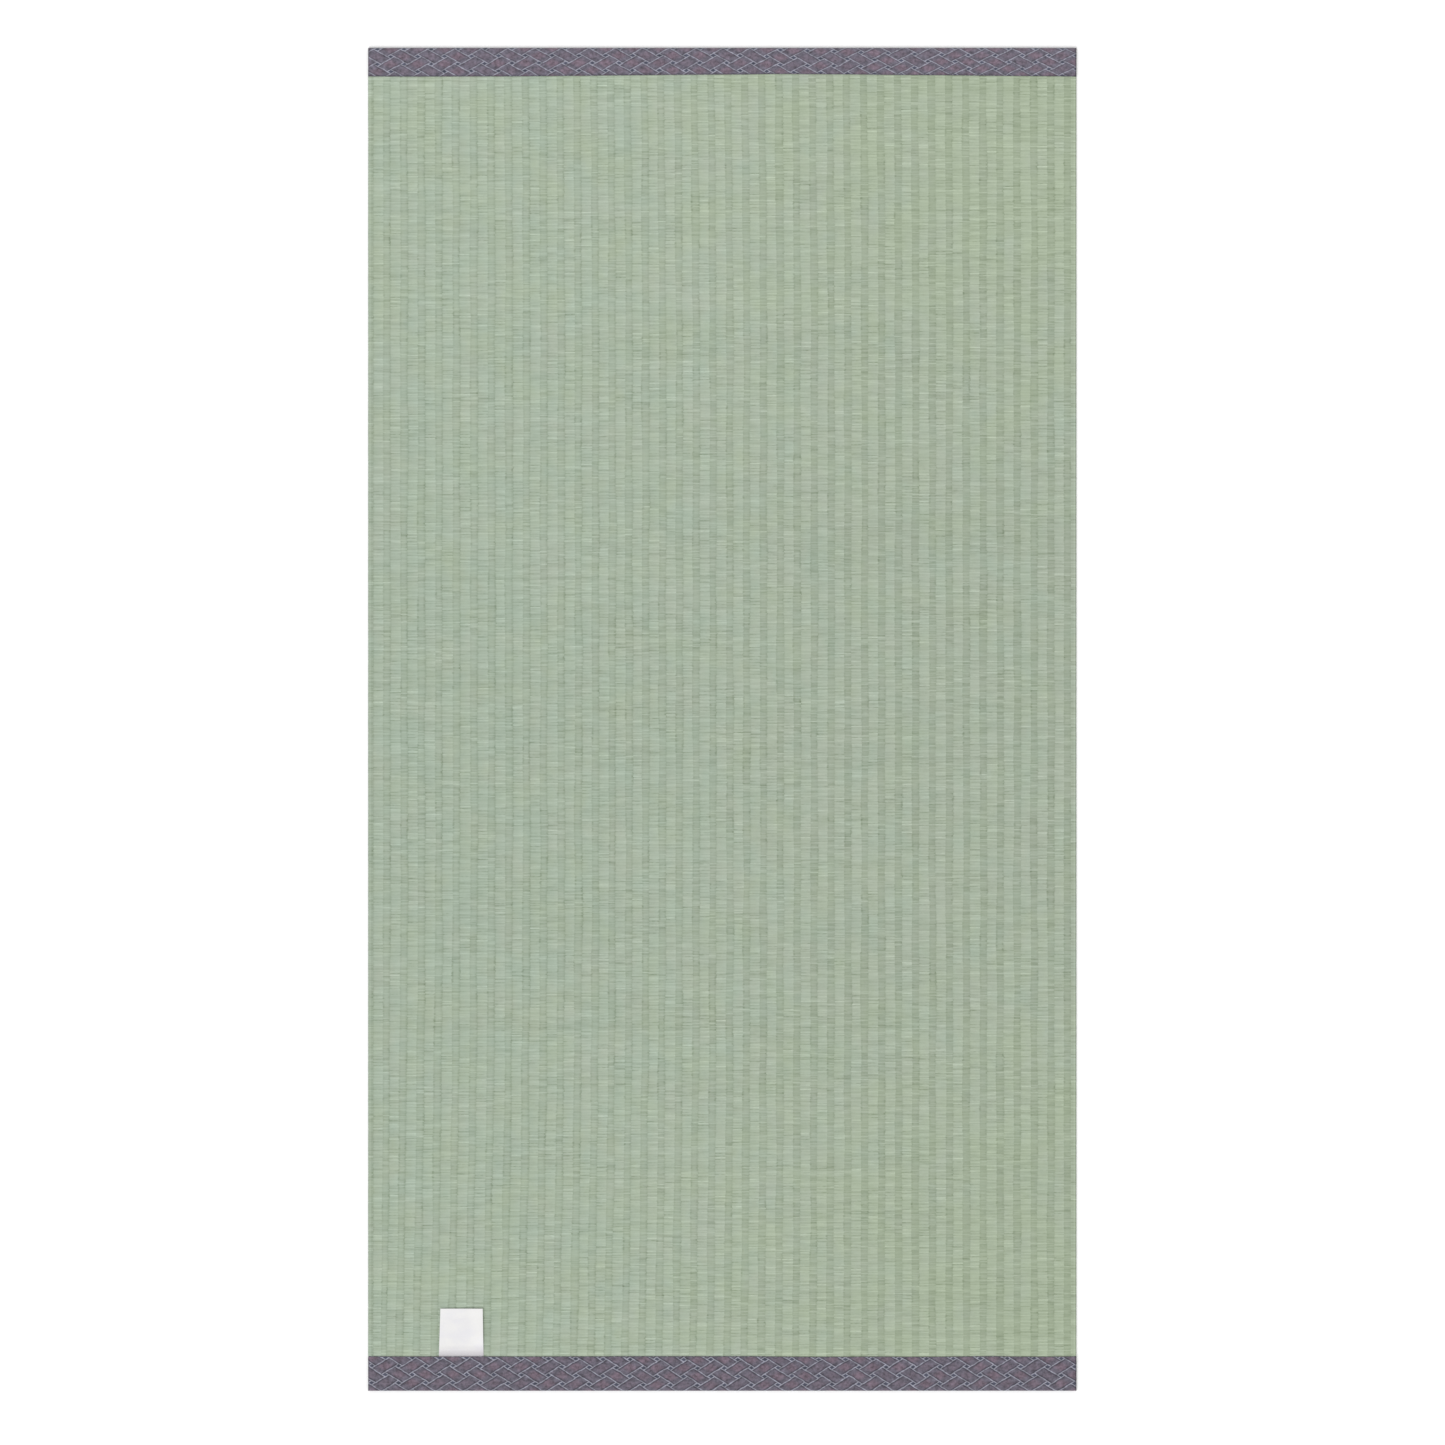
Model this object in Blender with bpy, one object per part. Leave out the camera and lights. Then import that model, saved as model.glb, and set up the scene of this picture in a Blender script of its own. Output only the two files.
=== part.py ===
"""A tatami mat: one sheet of woven rush, its head and foot bound in folded cloth, with a blank tag.

Metres, +Z up. The origin is under the middle of the mat, on the surface it lies on. The mat is long
in Y, with the tag at its foot, towards -Y. The rushes run across it in X, and the ribs along it.
"""

import math

import bmesh
import bpy

# The whole mat
MAT_WIDTH = 0.633
MAT_LENGTH = 1.200
GAP = 0.0003

# The rush facing: raised and low columns of rush alternate, drawn down where the warps pinch them
FACING_HEIGHT = 0.0034
RIB_PITCH = 0.0152
LOW_COLUMN_WIDTH = 0.0063
FIRST_LOW_COLUMN = -0.2998
RAISED_CROWN = 0.0006
LOW_CROWN = 0.0003
ARCH_POWER = 0.6
COLUMN_STEPS = 5
UPPER_SHOULDER = 0.0016
LOWER_SHOULDER = 0.0010
SHOULDER_STEPS = 4
FACING_SHARP_ANGLE = math.radians(40)

# The facing's ends are pressed thin inside the borders, and reach this far into the full sheet
PRESSED_OVERLAP = 0.004

# The borders: one cloth each, folded round an end of the facing and closed at its corners
BORDER_HEIGHT = 0.0038
CLOTH_THICKNESS = 0.0008
FOOT_BORDER_DEPTH = 0.0309
HEAD_BORDER_DEPTH = 0.0248
BORDER_ROUNDING = 0.0013
BORDER_STEPS = 4
LIP_ROUNDING = 0.00025
LIP_STEPS = 2
LIP_ANGLE = math.radians(70)
BORDER_SHARP_ANGLE = math.radians(50)

# The tag: caught under the foot border's lip, then up a soft ramp onto the ribs
TAG_THICKNESS = 0.0005
TAG_LENGTH = 0.0427
TAG_TUCK = 0.0035
TAG_LEVEL_PAST_SEAM = 0.0006
TAG_RAMP = 0.0070
TAG_RAMP_STEPS = 8
TAG_SEAM_LEFT = -0.2532
TAG_SEAM_RIGHT = -0.2133
TAG_TOP_LEFT = -0.2518
TAG_TOP_RIGHT = -0.2140
RECESS_CLEARANCE = 0.002

# Colours as the eye sees them, from 0 to 1, and how rough each surface is
RUSH_COLOUR = (0.65, 0.70, 0.63)
RUSH_ROUGHNESS = 0.62
BORDER_COLOUR = (0.46, 0.43, 0.48)
BORDER_ROUGHNESS = 0.75
TAG_COLOUR = (0.93, 0.93, 0.92)
TAG_ROUGHNESS = 0.45

SIDE = MAT_WIDTH / 2
FOOT_END = -MAT_LENGTH / 2
HEAD_END = MAT_LENGTH / 2
FOOT_SEAM = FOOT_END + FOOT_BORDER_DEPTH
HEAD_SEAM = HEAD_END - HEAD_BORDER_DEPTH


def clear_scene():
    for old in list(bpy.data.objects):
        bpy.data.objects.remove(old, do_unlink=True)


def to_linear(value):
    """The light behind a colour value that the eye sees."""
    return value / 12.92 if value <= 0.04045 else ((value + 0.055) / 1.055) ** 2.4


def make_material(name, colour, roughness):
    material = bpy.data.materials.new(name)
    material.use_nodes = True
    shader = material.node_tree.nodes["Principled BSDF"]
    shader.inputs["Base Color"].default_value = [to_linear(value) for value in colour] + [1.0]
    shader.inputs["Roughness"].default_value = roughness
    shader.inputs["Metallic"].default_value = 0.0
    return material


def add_object(name, shape):
    """A new object in the scene from a bmesh, with its faces pointing out."""
    bmesh.ops.recalc_face_normals(shape, faces=shape.faces)
    mesh = bpy.data.meshes.new(name)
    shape.to_mesh(mesh)
    shape.free()
    made = bpy.data.objects.new(name, mesh)
    bpy.context.collection.objects.link(made)
    return made


def finish_piece(piece, material, sharp_angle):
    piece.data.materials.append(material)
    piece.data.shade_smooth()
    piece.data.set_sharp_from_angle(angle=sharp_angle)


def as_helper(helper):
    """Marks an object as one that only shapes another."""
    helper.hide_render = True
    helper.display_type = "WIRE"
    return helper


def combine(target, helper, operation):
    boolean = target.modifiers.new(helper.name, "BOOLEAN")
    boolean.operation = operation
    boolean.solver = "EXACT"
    boolean.object = helper


def arch(share):
    """A flat-topped arch over 0 to 1, as rushes bulge between two warps."""
    return max(math.sin(math.pi * share), 0.0) ** ARCH_POWER


def rush_height(x):
    """The top of the rushes at x, before the mat's edges round it off."""
    pinched = FACING_HEIGHT - RAISED_CROWN
    raised_width = RIB_PITCH - LOW_COLUMN_WIDTH
    along = (x - FIRST_LOW_COLUMN + LOW_COLUMN_WIDTH / 2) % RIB_PITCH
    if along < LOW_COLUMN_WIDTH:
        return pinched + LOW_CROWN * arch(along / LOW_COLUMN_WIDTH)
    return pinched + RAISED_CROWN * arch((along - LOW_COLUMN_WIDTH) / raised_width)


def column_points():
    """Places across the mat where the ribs' outline is read, clear of the two shoulders."""
    raised_width = RIB_PITCH - LOW_COLUMN_WIDTH
    low_start = FIRST_LOW_COLUMN - LOW_COLUMN_WIDTH / 2 - RIB_PITCH
    found = []
    while low_start < SIDE:
        for start, width in ((low_start, LOW_COLUMN_WIDTH), (low_start + LOW_COLUMN_WIDTH, raised_width)):
            found += [start + width * step / COLUMN_STEPS for step in range(COLUMN_STEPS)]
        low_start += RIB_PITCH
    return [x for x in found if abs(x) < SIDE - UPPER_SHOULDER - GAP]


def shoulder_points(side):
    """The facing's rounded long edge as (x, z), from its top to the floor. side is -1 or 1."""
    arc_top = rush_height(side * (SIDE - UPPER_SHOULDER))
    arc_foot = FACING_HEIGHT - RAISED_CROWN - UPPER_SHOULDER
    upper = []
    lower = []
    for step in range(SHOULDER_STEPS + 1):
        angle = math.pi / 2 * step / SHOULDER_STEPS
        x = SIDE - UPPER_SHOULDER * (1 - math.sin(angle))
        upper.append((side * x, arc_foot + (arc_top - arc_foot) * math.cos(angle)))
        x = SIDE - LOWER_SHOULDER * (1 - math.cos(angle))
        lower.append((side * x, LOWER_SHOULDER * (1 - math.sin(angle))))
    return upper + lower


def facing_outline():
    """The facing cut across, as (x, z) points in order round it."""
    top = [(x, rush_height(x)) for x in column_points()]
    return top + shoulder_points(1) + shoulder_points(-1)[::-1]


def pressed_end(name, seam, end):
    """The thin stretch of the facing that fills a border, to be joined on."""
    outward = math.copysign(1.0, end)
    inset = CLOTH_THICKNESS + GAP
    stretch = (seam - outward * PRESSED_OVERLAP, end - outward * inset)
    low = (inset - SIDE, min(stretch), inset)
    high = (SIDE - inset, max(stretch), BORDER_HEIGHT - inset)
    block = bmesh.new()
    bmesh.ops.create_cube(block, size=1.0)
    for vertex in block.verts:
        vertex.co = [high[axis] if vertex.co[axis] > 0 else low[axis] for axis in range(3)]
    return as_helper(add_object(name, block))


def make_facing(material):
    """The rush sheet: its cut outline run from seam to seam, with a pressed end at each."""
    sheet = bmesh.new()
    outline = [sheet.verts.new((x, FOOT_SEAM + GAP, z)) for x, z in facing_outline()]
    grown = bmesh.ops.extrude_face_region(sheet, geom=[sheet.faces.new(outline)])
    for vertex in grown["geom"]:
        if isinstance(vertex, bmesh.types.BMVert):
            vertex.co.y = HEAD_SEAM - GAP
    facing = add_object("rush_facing", sheet)
    combine(facing, pressed_end("pressed_foot", FOOT_SEAM, FOOT_END), "UNION")
    combine(facing, pressed_end("pressed_head", HEAD_SEAM, HEAD_END), "UNION")
    combine(facing, tag_recess(), "DIFFERENCE")
    finish_piece(facing, material, FACING_SHARP_ANGLE)


def make_border(name, end, seam, material):
    """A cloth pocket over one end of the mat, open towards its middle, with a rounded lip."""
    plan = ((-SIDE, seam), (SIDE, seam), (SIDE, end), (-SIDE, end))
    pocket = bmesh.new()
    low = [pocket.verts.new((x, y, 0.0)) for x, y in plan]
    high = [pocket.verts.new((x, y, BORDER_HEIGHT)) for x, y in plan]
    pocket.faces.new(low[::-1])
    pocket.faces.new(high)
    for first, second in ((1, 2), (2, 3), (3, 0)):
        pocket.faces.new((low[first], low[second], high[second], high[first]))
    folds = [edge for edge in pocket.edges if not edge.is_boundary]
    bmesh.ops.bevel(
        pocket, geom=folds, offset=BORDER_ROUNDING, segments=BORDER_STEPS, profile=0.5, affect="EDGES"
    )
    border = add_object(name, pocket)
    cloth = border.modifiers.new("cloth", "SOLIDIFY")
    cloth.thickness = CLOTH_THICKNESS
    cloth.offset = -1.0
    cloth.use_even_offset = True
    lip = border.modifiers.new("lip", "BEVEL")
    lip.limit_method = "ANGLE"
    lip.angle_limit = LIP_ANGLE
    lip.width = LIP_ROUNDING
    lip.segments = LIP_STEPS
    finish_piece(border, material, BORDER_SHARP_ANGLE)


def tag_floor(y):
    """The tag's underside at y: level under the border's lip, then eased up onto the ribs."""
    under_lip = BORDER_HEIGHT - CLOTH_THICKNESS - GAP - TAG_THICKNESS
    on_ribs = FACING_HEIGHT + GAP
    share = (y - FOOT_SEAM - TAG_LEVEL_PAST_SEAM) / TAG_RAMP
    ease = (1 - math.cos(math.pi * min(max(share, 0.0), 1.0))) / 2
    return under_lip + (on_ribs - under_lip) * ease


def tag_sides(y):
    """The tag's left and right edges at y. It narrows a little towards its free end."""
    share = (y - FOOT_SEAM) / TAG_LENGTH
    left = TAG_SEAM_LEFT + (TAG_TOP_LEFT - TAG_SEAM_LEFT) * share
    right = TAG_SEAM_RIGHT + (TAG_TOP_RIGHT - TAG_SEAM_RIGHT) * share
    return left, right


def ramp_stations(tuck):
    """Places along the tag, from its hidden end, tuck past the seam, to the end of its ramp."""
    ramp_start = FOOT_SEAM + TAG_LEVEL_PAST_SEAM
    ramp = [ramp_start + TAG_RAMP * step / TAG_RAMP_STEPS for step in range(TAG_RAMP_STEPS + 1)]
    return [FOOT_SEAM - tuck] + ramp


def make_strip(name, stations, sides, floor, ceiling):
    """A closed strip along Y: at each station it spans sides(y), from floor(y) up to ceiling(y)."""
    strip = bmesh.new()
    rings = []
    for y in stations:
        left, right = sides(y)
        corners = ((left, floor(y)), (right, floor(y)), (right, ceiling(y)), (left, ceiling(y)))
        rings.append([strip.verts.new((x, y, z)) for x, z in corners])
    for before, after in zip(rings, rings[1:]):
        for corner in range(4):
            following = (corner + 1) % 4
            strip.faces.new((before[corner], before[following], after[following], after[corner]))
    strip.faces.new(rings[0])
    strip.faces.new(rings[-1])
    return add_object(name, strip)


def make_tag(material):
    """The blank tag, a thin strip of satin whose hidden end is held under the foot border."""
    stations = ramp_stations(TAG_TUCK) + [FOOT_SEAM + TAG_LENGTH]
    tag = make_strip("blank_tag", stations, tag_sides, tag_floor, lambda y: tag_floor(y) + TAG_THICKNESS)
    finish_piece(tag, material, FACING_SHARP_ANGLE)


def tag_recess():
    """What the tag presses out of the facing, to be cut away."""

    def sides(y):
        left, right = tag_sides(y)
        return left - GAP, right + GAP

    def ceiling(_):
        return FACING_HEIGHT + RECESS_CLEARANCE

    stations = ramp_stations(TAG_TUCK + GAP)
    return as_helper(make_strip("tag_recess", stations, sides, lambda y: tag_floor(y) - GAP, ceiling))


def build_mat():
    clear_scene()
    make_facing(make_material("rush", RUSH_COLOUR, RUSH_ROUGHNESS))
    head_cloth = make_material("head_cloth", BORDER_COLOUR, BORDER_ROUGHNESS)
    make_border("head_border", HEAD_END, HEAD_SEAM, head_cloth)
    foot_cloth = make_material("foot_cloth", BORDER_COLOUR, BORDER_ROUGHNESS)
    make_border("foot_border", FOOT_END, FOOT_SEAM, foot_cloth)
    make_tag(make_material("tag_satin", TAG_COLOUR, TAG_ROUGHNESS))


build_mat()
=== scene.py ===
"""The looks of a tatami mat: woven rush in relief, patterned cloth folded round its two ends, and a
blank satin tag, on a pale floor under soft light, seen from straight above.

Metres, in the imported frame: +Y runs to the mat's head, and the tag is at its foot. Materials are
written for the light here, and every texture is at its real size.
"""

import math

import bmesh
import bpy
import numpy as np
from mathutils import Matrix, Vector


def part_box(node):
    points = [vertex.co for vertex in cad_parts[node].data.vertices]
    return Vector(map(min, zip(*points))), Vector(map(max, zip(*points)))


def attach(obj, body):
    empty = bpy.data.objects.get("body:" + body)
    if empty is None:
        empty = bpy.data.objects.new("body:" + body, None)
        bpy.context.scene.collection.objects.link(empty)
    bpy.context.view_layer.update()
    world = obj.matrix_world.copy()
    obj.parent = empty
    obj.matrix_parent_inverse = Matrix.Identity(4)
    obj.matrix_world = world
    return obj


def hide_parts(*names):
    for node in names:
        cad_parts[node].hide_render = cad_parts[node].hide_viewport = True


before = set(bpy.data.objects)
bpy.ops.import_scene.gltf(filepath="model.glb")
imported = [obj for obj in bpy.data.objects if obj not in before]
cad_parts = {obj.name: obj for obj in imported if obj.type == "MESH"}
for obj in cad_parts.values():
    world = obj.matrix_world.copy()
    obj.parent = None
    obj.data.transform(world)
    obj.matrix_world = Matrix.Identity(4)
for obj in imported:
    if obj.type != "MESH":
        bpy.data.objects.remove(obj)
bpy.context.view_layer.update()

FACING_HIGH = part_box("rush_facing")[1]
FOOT_LOW, FOOT_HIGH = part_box("foot_border")
HEAD_LOW, HEAD_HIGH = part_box("head_border")
TAG_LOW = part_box("blank_tag")[0]

# Sizes of the mat, the ones that the boxes don't give as the solids have them
GAP = 0.0003
CLOTH_THICKNESS = 0.0008
TAG_THICKNESS = 0.0005
SIDE = FACING_HIGH[0]
FACING_HEIGHT = FACING_HIGH[2]
BORDER_HEIGHT = FOOT_HIGH[2]
FOOT_END = FOOT_LOW[1]
FOOT_SEAM = FOOT_HIGH[1]
HEAD_END = HEAD_HIGH[1]
HEAD_SEAM = HEAD_LOW[1]
INSIDE_CLOTH = CLOTH_THICKNESS + GAP
SEED = 20

# The head border's lip bows a little about its straight line, and is shallowest right of the middle
HEAD_BOW = 0.00097
HEAD_BOW_MIDDLE = 0.045
HEAD_BOW_HALF = 0.30

# The weave: raised and low columns of rush by turns, drawn down where the warps pinch them
RIB_PITCH = 0.0152
LOW_COLUMN_WIDTH = 0.0063
RAISED_COLUMN_WIDTH = RIB_PITCH - LOW_COLUMN_WIDTH
FIRST_LOW_COLUMN = -0.2998
FIRST_COLUMN_EDGE = FIRST_LOW_COLUMN - LOW_COLUMN_WIDTH / 2 - RIB_PITCH
COLUMN_PAIRS = 44
RAISED_CROWN = 0.0006
LOW_CROWN = 0.0003
PINCHED_HEIGHT = FACING_HEIGHT - RAISED_CROWN
ARCH_POWER = 0.6
LOW_SHARES = (0.0, 0.3, 0.7)
RAISED_SHARES = (0.0, 0.17, 0.5, 0.83)

# How the columns have drifted to the right, and how they lean to the left near the foot and the head
COLUMN_DRIFT = 0.0041
DRIFT_RUN = 0.195
DRIFT_FALL = 0.26
FOOT_LEAN = 0.0038
FOOT_LEAN_START = -0.1
FOOT_LEAN_RUN = 0.42
FOOT_LEAN_LEFT = -0.2
FOOT_LEAN_WIDTH = 0.43
HEAD_LEAN = 0.0012
HEAD_LEAN_START = 0.3
HEAD_LEAN_RUN = 0.22
LEAN_MARGIN = 0.03

# The facing's long edges: a rounded selvage, with a groove beside it
UPPER_SHOULDER = 0.0016
LOWER_SHOULDER = 0.0010
SHOULDER_STEPS = 4
SHOULDER_BULGE = 0.6
GROOVE_OFF = 0.0032
GROOVE_HALF_WIDTH = 0.0008
GROOVE_DEPTH = 0.00022
UNDERSIDE_CROWN = 0.0003
UNDERSIDE_BULGE = 0.6

# The rushes: two sets that show on every second rib by turns, a little uneven in width and height
LENGTHS = 5
RUSH_PITCH = 0.0027
RUSHES = LENGTHS * round((HEAD_SEAM - FOOT_SEAM) / RUSH_PITCH / LENGTHS)
RUSH_WIDTH_SPREAD = 0.13
RUSH_WIDTH_LEAST = 0.5
RUSH_WIDTH_MOST = 1.6
RUSH_RELIEF = 0.00034
CROSSING_RELIEF = 0.00014
RUSH_LIFT = 0.00005
BUNDLE_LIFT = 0.00006
BUNDLE_ROWS = 11
RUSH_WANDER = 0.0003
WANDER_PLACES = 24
WANDER_BLUR = 9
WANDER_ROWS = 61
WARP_SWAY = 0.0003
SWAY_ROWS = 61
PRESS_LENGTH = 0.005

# The tag, and its ramp from under the foot border's lip onto the ribs
TAG_LENGTH = 0.0427
TAG_LEVEL_PAST_SEAM = 0.0006
TAG_RAMP = 0.0070
TAG_SEAM_LEFT = -0.2532
TAG_SEAM_RIGHT = -0.2133
TAG_TOP_LEFT = -0.2518
TAG_TOP_RIGHT = -0.2140
TAG_CLEARANCE = 0.0022
TAG_ROWS = 60
TAG_COLUMNS = 25
TAG_RIB_SHOW = 0.00008
TAG_LOOSE_RUN = 0.012
TAG_RIGHT_LIFT = 0.0012
TAG_RIGHT_START = 0.65
TAG_END_LIFT = 0.0003
TAG_END_RUN = 0.009
TAG_EDGE_ROUNDING = 0.25
TAG_EDGE_SHARE = 0.03
TAG_SHARP_ANGLE = math.radians(60)

# The borders: how the cloth is folded, and its small unevenness
FOLD_ROUNDING = 0.0014
FOLD_STEPS = 5
FLAT_STEPS = 16
LIP_STEPS = 3
BORDER_STATIONS = 420
TURN_IN = 0.0022
TURN_IN_STEPS = 8
TURN_IN_POWER = 2.6
RIB_SHOW = 0.00007
CLOTH_WAVE = 0.00010
WAVE_STATIONS = 25
LIP_WANDER = 0.00018
LIP_WANDER_STATIONS = 70
LIP_WANDER_DEPTH = 0.006

# The borders' lattice of planks woven over and under: a hole's place on each border, the pitch of
# the holes along the cloth, the pitch of their rows, and the rest as shares of a strip's pitch
FOOT_PITCH = 0.02408
FOOT_ROW_PITCH = 0.00755
FOOT_HOLE = (-0.2891, -0.5777)
HEAD_PITCH = 0.0240
HEAD_ROW_PITCH = 0.0067
HEAD_HOLE = (-0.0681, 0.5853)
STRIP_GAP = 0.20
STRIP_LIMIT = 0.5 - STRIP_GAP / 2
STRIP_LINE = 0.070
STRIP_SHADOW = 0.15
STRIP_SOFTNESS = 0.012

# Where the printed cloth has slipped along and across the borders: each a start, a stop and a shift
FOOT_SLIPS = ((-0.288, -0.091, 0.0019),)
FOOT_SAGS = ((-0.26, -0.02, -0.0019), (-0.02, 0.20, 0.0012))
HEAD_SAGS = ((-0.30, -0.14, 0.0012), (0.015, 0.06, -0.0011), (-0.009, 0.25, -0.0043))
HEAD_SQUEEZE = (-0.009, 0.259, 0.10)

# The flat maps for baking: their margins, and how they are shared out
FACING_TOP_SHARE = 0.78
FACING_SIDE_MARGIN = 0.002
FACING_END_MARGIN = 0.004
BORDER_FOLDS = 6
BEFORE_LAST_FOLD = 0.9999
BORDER_END_MARGIN = 0.004
BORDER_SIDE_MARGIN = 0.02
TAG_SIDE_MARGIN = 0.01
TAG_END_MARGIN = 0.02

FLOOR_SIZE = 40.0
CAMERA_HEIGHT = 6.0
CAMERA_REACH = 50.0
PICTURE_WIDTH = 1.2918
AIM = (0.0002, -0.0028)
ROOM_LIGHT = 0.78
WINDOW_LIGHT = 1.39
WINDOW_SIZE = math.radians(35)
WINDOW_PLACE = (-0.9, -1.75, 3.0)

# Below these, a length counts as nothing, and two points as one
NO_LENGTH = 1e-12
ONE_POINT = 1e-7


def seen(red, green, blue):
    """A colour given as the eye sees it, from 0 to 255, as the light that the shader works in."""
    values = np.array([red, green, blue]) / 255
    light = np.where(values <= 0.04045, values / 12.92, ((values + 0.055) / 1.055) ** 2.4)
    return (*light.tolist(), 1.0)


# The rushes' colours, and how much lighter or darker each place is, as shares of the light it sends back,
# with painted shade and highlights among them
RUSH_GREEN = seen(155.6, 170.9, 154.0)
RUSH_GREY = seen(160.5, 170.8, 154.0)
RUSH_STRAW = seen(158.0, 170.9, 146.7)
RUSH_SHADE_LEAN = (1.02, 0.955, 1.11)
RUSH_GAP_SHADE = 0.20
RUSH_TONE = 0.06
RUSH_STREAK = 0.29
RUSH_PAINTED_GLEAM = 0.26
LONG_TONE = 0.42
BAND_TONE = 0.12
PINCH_DOT = 0.26
DIVE_PINCH = 0.045
CLIMB_PINCH = 0.050
RIGHT_PINCH = 0.012
LOW_PAINTED_SHADE_LEFT = 0.055
LOW_PAINTED_SHADE_RIGHT = 0.13
COLUMN_PAINTED_LIGHT_LEFT = 0.12
COLUMN_PAINTED_LIGHT_RIGHT = 0.08
HEAD_PAINTED_LIGHT = 0.058
MIDDLE_PAINTED_SHADE = 0.004
FOOT_PAINTED_LIGHT = 0.010
RIGHT_PAINTED_SHADE = 0.012
SEAM_LIGHT = 0.07
RIM_PAINTED_SHADE = 0.16
BEAD_PAINTED_HIGHLIGHT = 0.07
GROOVE_PAINTED_SHADE = 0.05

# Noises in the rushes: swells to a metre across the mat and along it, detail, roughness and kind
FIBRES = (90.0, 3800.0, 3.0, 0.6)
STREAKS = (70.0, 520.0, 1.0, 0.5, 3.0)
BREAKS = (300.0, 700.0)
BITES = (70.0, 420.0, 1.0, 0.5, 5.0)
PATCHES = (50.0, 40.0)
BANDS = (2.0, 28.0, 4.0, 0.75, 8.0)
DOT_RUNS = (60.0, 38.0, 2.0, 0.5, 12.0)
GREY_PATCHES = (28.0, 25.0, 3.0, 0.6)
STRAW_PATCHES = (28.0, 25.0, 3.0, 0.6, 6.0)

# How the noises are read: the values between which they count, and from what to what
BREAK_READING = (0.30, 0.65, 0.35, 1.2)
PATCH_READING = (0.35, 0.65, 0.75, 1.2)
DOT_RUN_READING = (0.46, 0.66, 0.1, 1.0)
GREY_READING = (0.22, 0.78)
STRAW_READING = (0.35, 1.0)
FIBRE_ROUGHNESS = (0.2, 0.8, 0.50, 0.68)

# Another chance for each thing that it decides, and how rare the strong ones are
TONE_CHANCE = 7.0
LINE_CHANCE = 11.0
LINE_RARITY = 1.7
DOT_CHANCE = 13.0
DOT_RARITY = 3.0
GLEAM_CHANCE = 19.0
GLEAM_RARITY = 4.0

# The painted shade in the gaps between rushes and their painted gleams, and the run of each rush's own
# light
LINE_LEAST = 0.25
LINE_IN_SHED = 0.35
LINE_BETWEEN_SHEDS = 1.2
GLEAM_PLACE = 0.45
ROW_SWELLS = 3.0
ROW_STEP = 5.37
SET_STEP = 31.0
SET_START = 0.5
ROW_DETAIL = 2.0
ROW_ROUGHNESS = 0.7
BITE_SIZE = 0.16
LOW_PINCH_REACH = 0.0021
RAISED_PINCH_SHORTER = 0.0010

# Where across or along the mat its painted light and shade, and its hue, change
PINCH_ACROSS = (-0.2, 0.15)
SHADE_ACROSS = (-0.25, 0.2)
RIGHT_PAINTED_SHADE_ACROSS = (0.0, 0.12)
HEAD_PAINTED_LIGHT_START = -0.05
FOOT_PAINTED_LIGHT_ALONG = (-0.45, -0.1)
GREY_ADDED = (-0.08, 0.11)
STRAW_ALONG = (0.1, 0.55)
STRAW_ACROSS = (-0.1, 0.3, 0.1, 0.36)

# How far the painted shade and highlight beside the mat's edges, and the paler rush beside its seams, reach
RIM_REACH = (0.0006, 0.0012)
BEAD_OFF = 0.0018
BEAD_REACH = 0.0009
GROOVE_REACH = 0.0014
SEAM_ROWS = (0.3, 1.6)

# The rushes' fine relief
ROUNDNESS_RELIEF = 0.6
FIBRE_RELIEF = 0.25
RUSH_BUMP = (0.0003, 0.5)

# The border cloth's colours, what sets the head's cloth apart from the foot's, and the painted shade at the
# head's lip and the closed ends
STRIP_LIGHT = seen(137, 137, 149)
HOLE_DARK = seen(66, 68, 83)
PLANK_MIDDLE = seen(107, 93, 105)
PLANK_END = seen(94, 90, 102)
PLANK_SHADOW = seen(63, 60, 72)
PLANK_FADE = (0.10, 0.46, 1.0, 0.0)
PLANK_TONES = (0.0, 0.8, 0.35, 1.0)
HEAD_LINE = 0.88
HEAD_SHADOW = 0.6
HEAD_CLOTH = 1.115
LIP_REACH = (0.8, 1.8)
HEAD_LIP_PAINTED_SHADE = 0.66
END_REACH = (0.7, 1.4)
LEFT_END_PAINTED_SHADE = 0.66
RIGHT_END_PAINTED_SHADE = 0.45
ABOUT_MIDDLE = (-0.1, 0.1)

# The border cloth's noises and threads
THREAD_PITCH = 0.0009
WEFT_PITCH = 0.0007
ALONG_WANDER = (170.0, 170.0)
ALONG_WANDER_SIZE = 0.06
ACROSS_WANDER = (170.0, 170.0, 1.0, 0.5, 4.0)
ACROSS_WANDER_SIZE = 0.08
RISING_CHANCE = 1.0
FALLING_CHANCE = 2.0
GRAIN = (750.0, 800.0, 2.0, 0.7)
GRAIN_LIGHT = (0.25, 0.75, 0.90, 1.10)
GRAIN_ROUGHNESS = (0.3, 0.7, 0.66, 0.82)
GRAIN_RELIEF = 0.5
MOTTLE = (300.0, 360.0, 2.0, 0.6, 2.0)
MOTTLE_SIZE = 1.9
WEAVE_LIGHT = 0.06
WEAVE_RELIEF = 0.35
LINE_EDGE = (0.3, 0.45)
LINE_RELIEF = 0.2
CLOTH_BUMP = (0.00012, 0.6)

# The tag's colours, its painted shade under the border, noises and threads
SATIN_WHITE = seen(224, 223, 222)
SATIN_GREY = seen(219, 218, 221)
SATIN_PAINTED_SHADE = seen(186, 183, 187)
SATIN_PAINTED_SHADE_RUN = 0.011
SATIN_THREAD_PITCH = 0.00035
SATIN_THREAD_RELIEF = 0.3
FLOATS = (2400.0, 500.0, 2.0)
FLOAT_ROUGHNESS = (0.3, 0.7, 0.38, 0.5)
FLOAT_RELIEF = 0.6
CLOUDS = (60.0, 90.0, 2.0)
CLOUD_READING = (0.35, 0.7)
SATIN_BUMP = (0.00006, 0.5)

# The floor's colours and its faint clouds
FLOOR_WHITE = seen(250, 250, 250)
FLOOR_BRIGHT = seen(252, 252, 252)
FLOOR_CLOUDS = (3.0, 3.0, 2.0)
FLOOR_ROUGHNESS = 0.9


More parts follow.
